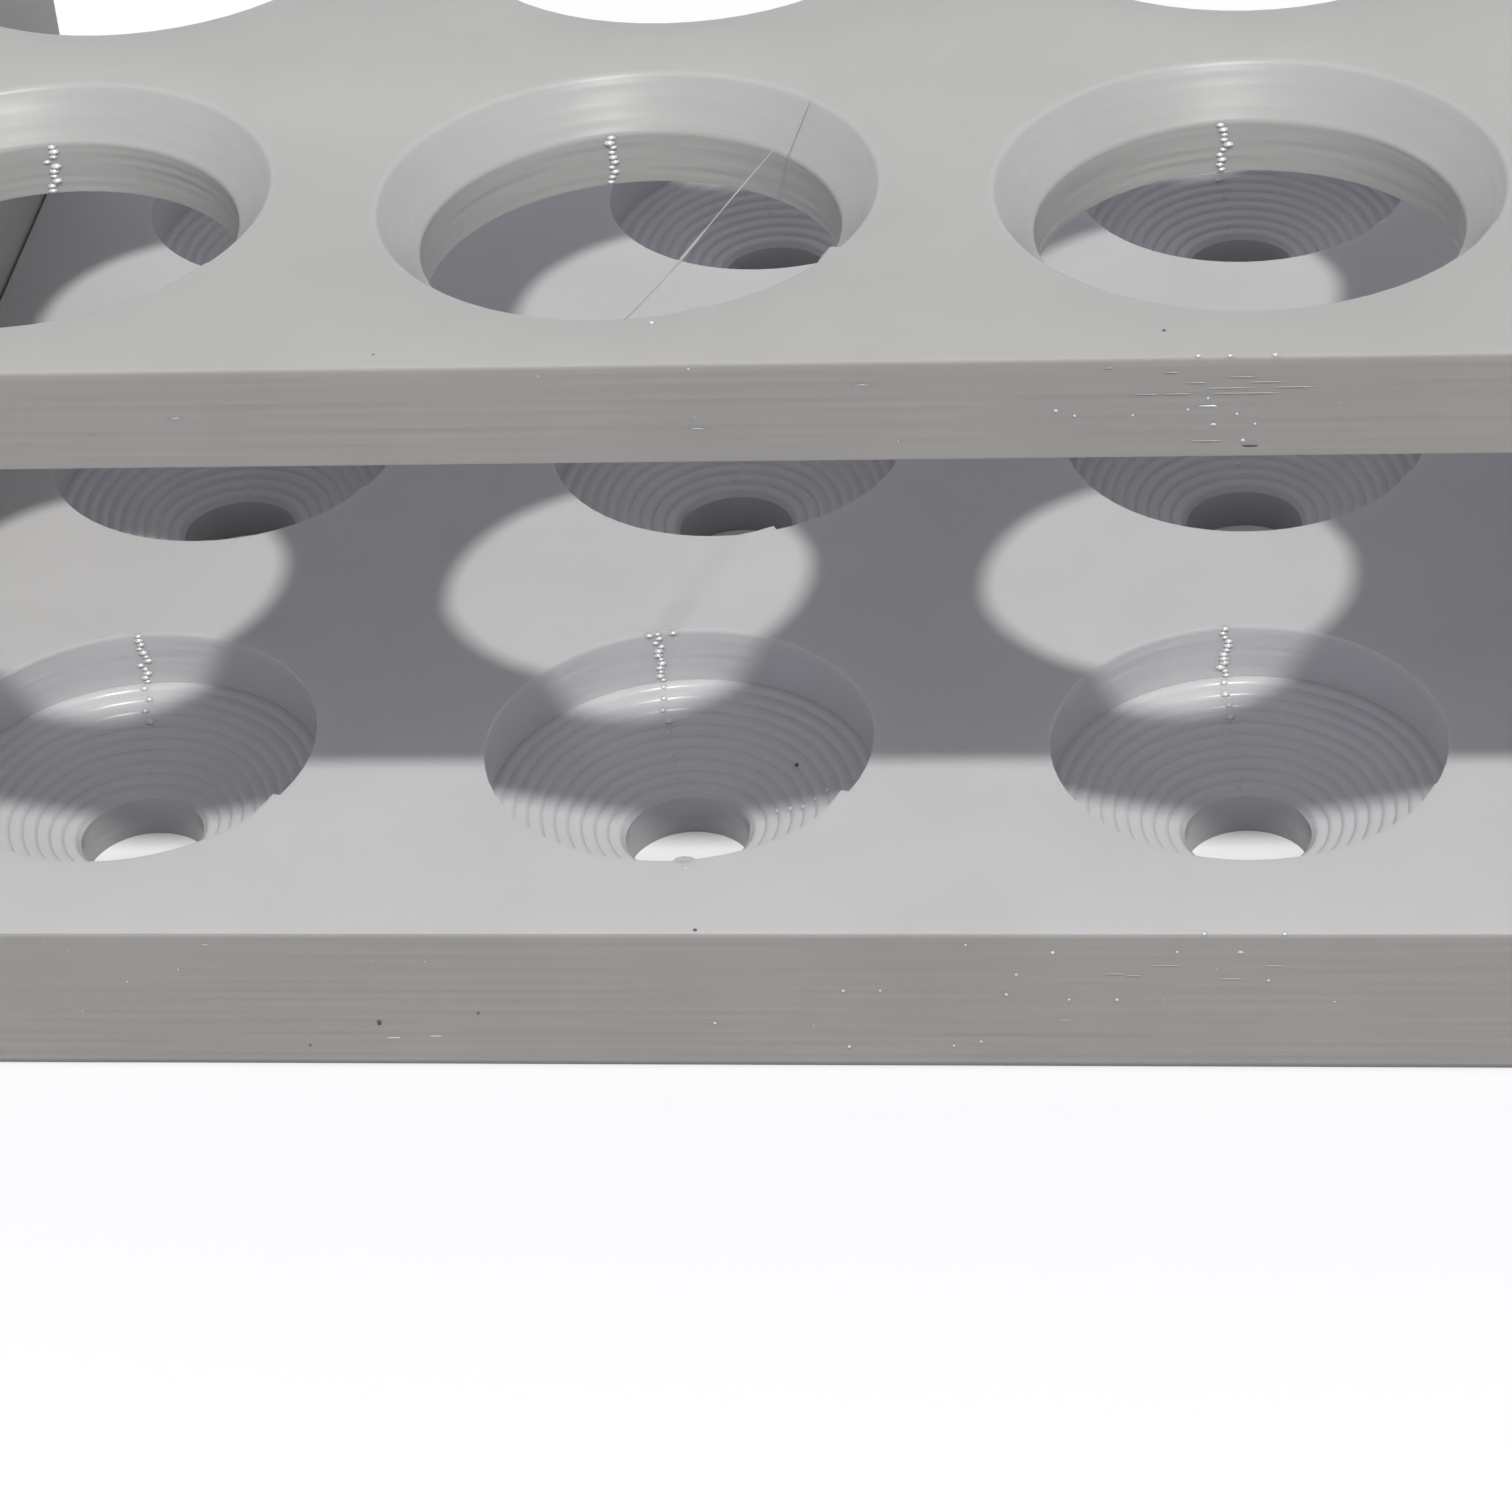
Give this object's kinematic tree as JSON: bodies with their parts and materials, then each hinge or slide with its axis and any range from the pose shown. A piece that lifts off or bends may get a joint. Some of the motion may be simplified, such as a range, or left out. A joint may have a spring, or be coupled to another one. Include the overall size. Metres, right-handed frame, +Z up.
{
  "type": "test tube rack",
  "caption": "3D-printed test tube rack: an upper plate of countersunk holes on two end walls over a lower plate of conical seats with drains.",
  "frame": {"origin": "centre of the lower plate's underside, on the surface the rack stands on", "axes": "+X along the rack's length, +Y from the front to the back, +Z up"},
  "size_m": [0.108, 0.0666, 0.03],
  "materials": {
    "printed_plastic": "light grey filament print, satin, with fine layer lines"
  },
  "bodies": {
    "root": {"upper_plate": "printed_plastic", "lower_plate": "printed_plastic", "left_end_wall": "printed_plastic", "right_end_wall": "printed_plastic"}
  },
  "joints": []
}
